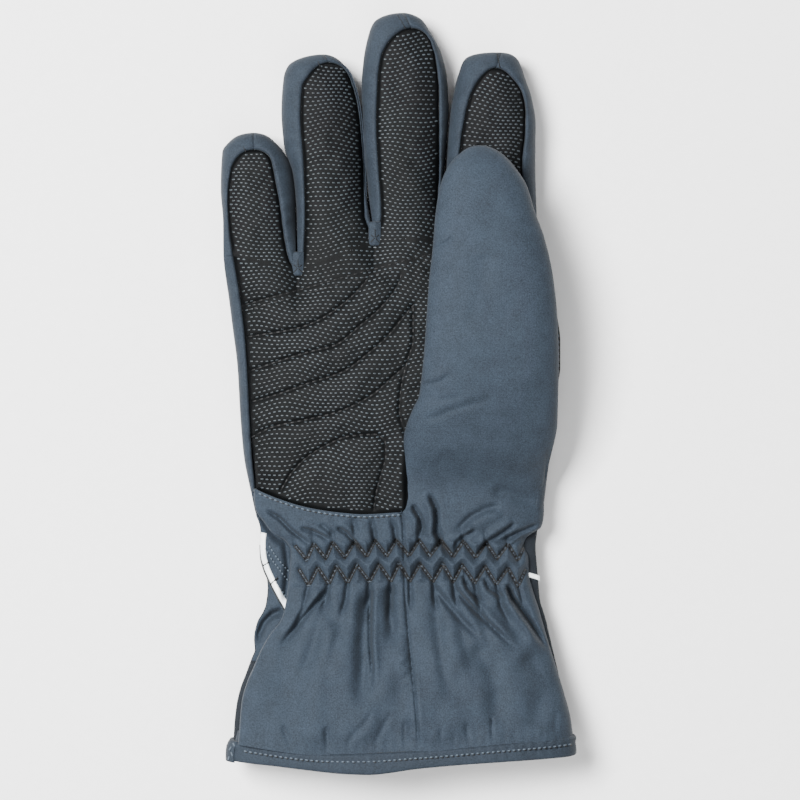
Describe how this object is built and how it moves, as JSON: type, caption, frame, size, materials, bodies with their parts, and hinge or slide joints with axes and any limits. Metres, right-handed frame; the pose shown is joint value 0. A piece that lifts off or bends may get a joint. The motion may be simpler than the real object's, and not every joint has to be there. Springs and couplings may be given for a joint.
{
  "type": "ski glove",
  "caption": "Right-hand insulated ski glove lying palm up, with a textured grip palm, quilted padding, shirred elastic wrist and flared gauntlet cuff.",
  "frame": {"origin": "bottom centre of the bounding box, on the surface the glove lies on", "axes": "+X towards the thumb side, +Y towards the fingertips, +Z out of the palm; the glove lies on its back"},
  "size_m": [0.1319, 0.28, 0.0525],
  "materials": {
    "shell": "matt woven nylon",
    "back": "matt woven nylon",
    "grip": "embossed synthetic grip fabric",
    "insulation": "fleecy wadding",
    "lining": "brushed knit",
    "elastic": "woven elastic",
    "thread": "twisted thread",
    "piping": "reflective tape"
  },
  "bodies": {
    "hand": {"palm_grip": "grip", "palm_heel": "shell", "palm_insulation": "insulation", "palm_lining": "lining", "hand_back": "back", "back_insulation": "insulation", "back_lining": "lining", "little_side_wall": "shell", "index_side_wall": "shell", "fourchette_little_ring": "shell", "fourchette_ring_middle": "shell", "fourchette_middle_index": "shell", "thumb_gusset": "grip", "thumb_base": "shell", "thumb_base_insulation": "insulation", "thumb_base_lining": "lining"},
    "little_tip": {"little_tip_grip": "grip", "little_tip_back": "back", "little_tip_wall_left": "shell", "little_tip_wall_right": "shell", "little_tip_insulation": "insulation", "little_tip_lining": "lining"},
    "ring_tip": {"ring_tip_grip": "grip", "ring_tip_back": "back", "ring_tip_wall_left": "shell", "ring_tip_wall_right": "shell", "ring_tip_insulation": "insulation", "ring_tip_lining": "lining"},
    "middle_tip": {"middle_tip_grip": "grip", "middle_tip_back": "back", "middle_tip_wall_left": "shell", "middle_tip_wall_right": "shell", "middle_tip_insulation": "insulation", "middle_tip_lining": "lining"},
    "index_tip": {"index_tip_grip": "grip", "index_tip_back": "back", "index_tip_wall_left": "shell", "index_tip_wall_right": "shell", "index_tip_insulation": "insulation", "index_tip_lining": "lining"},
    "thumb": {"thumb_shell": "shell", "thumb_grip": "grip", "thumb_insulation": "insulation", "thumb_lining": "lining"},
    "cuff": {"cuff_front_right": "shell", "cuff_front_left": "shell", "wrist_back_panel": "back", "reflective_piping": "piping", "cuff_back": "back", "wrist_elastic_upper": "elastic", "wrist_elastic_lower": "elastic", "cuff_lining": "lining", "cuff_hem": "shell", "zigzag_thread_upper": "thread", "zigzag_thread_lower": "thread"}
  },
  "joints": [
    {"name": "little_curl", "type": "hinge", "parent": "hand", "child": "little_tip", "pos_m": [-0.0529, 0.0705, 0.01067], "axis": [1, 0, 0], "range_deg": [0, 70]},
    {"name": "ring_curl", "type": "hinge", "parent": "hand", "child": "ring_tip", "pos_m": [-0.0269, 0.091, 0.01067], "axis": [1, 0, 0], "range_deg": [0, 70]},
    {"name": "middle_curl", "type": "hinge", "parent": "hand", "child": "middle_tip", "pos_m": [0.0024, 0.1, 0.01067], "axis": [1, 0, 0], "range_deg": [0, 70]},
    {"name": "index_curl", "type": "hinge", "parent": "hand", "child": "index_tip", "pos_m": [0.0345, 0.0955, 0.01067], "axis": [1, 0, 0], "range_deg": [0, 70]},
    {"name": "thumb_lift", "type": "hinge", "parent": "hand", "child": "thumb", "pos_m": [0.0324, -0.006, 0.0404], "axis": [1, 0, 0], "range_deg": [0, 60]},
    {"name": "wrist_bend", "type": "hinge", "parent": "hand", "child": "cuff", "pos_m": [0, -0.0606, 0.01104], "axis": [1, 0, 0], "range_deg": [-40, 40]}
  ]
}
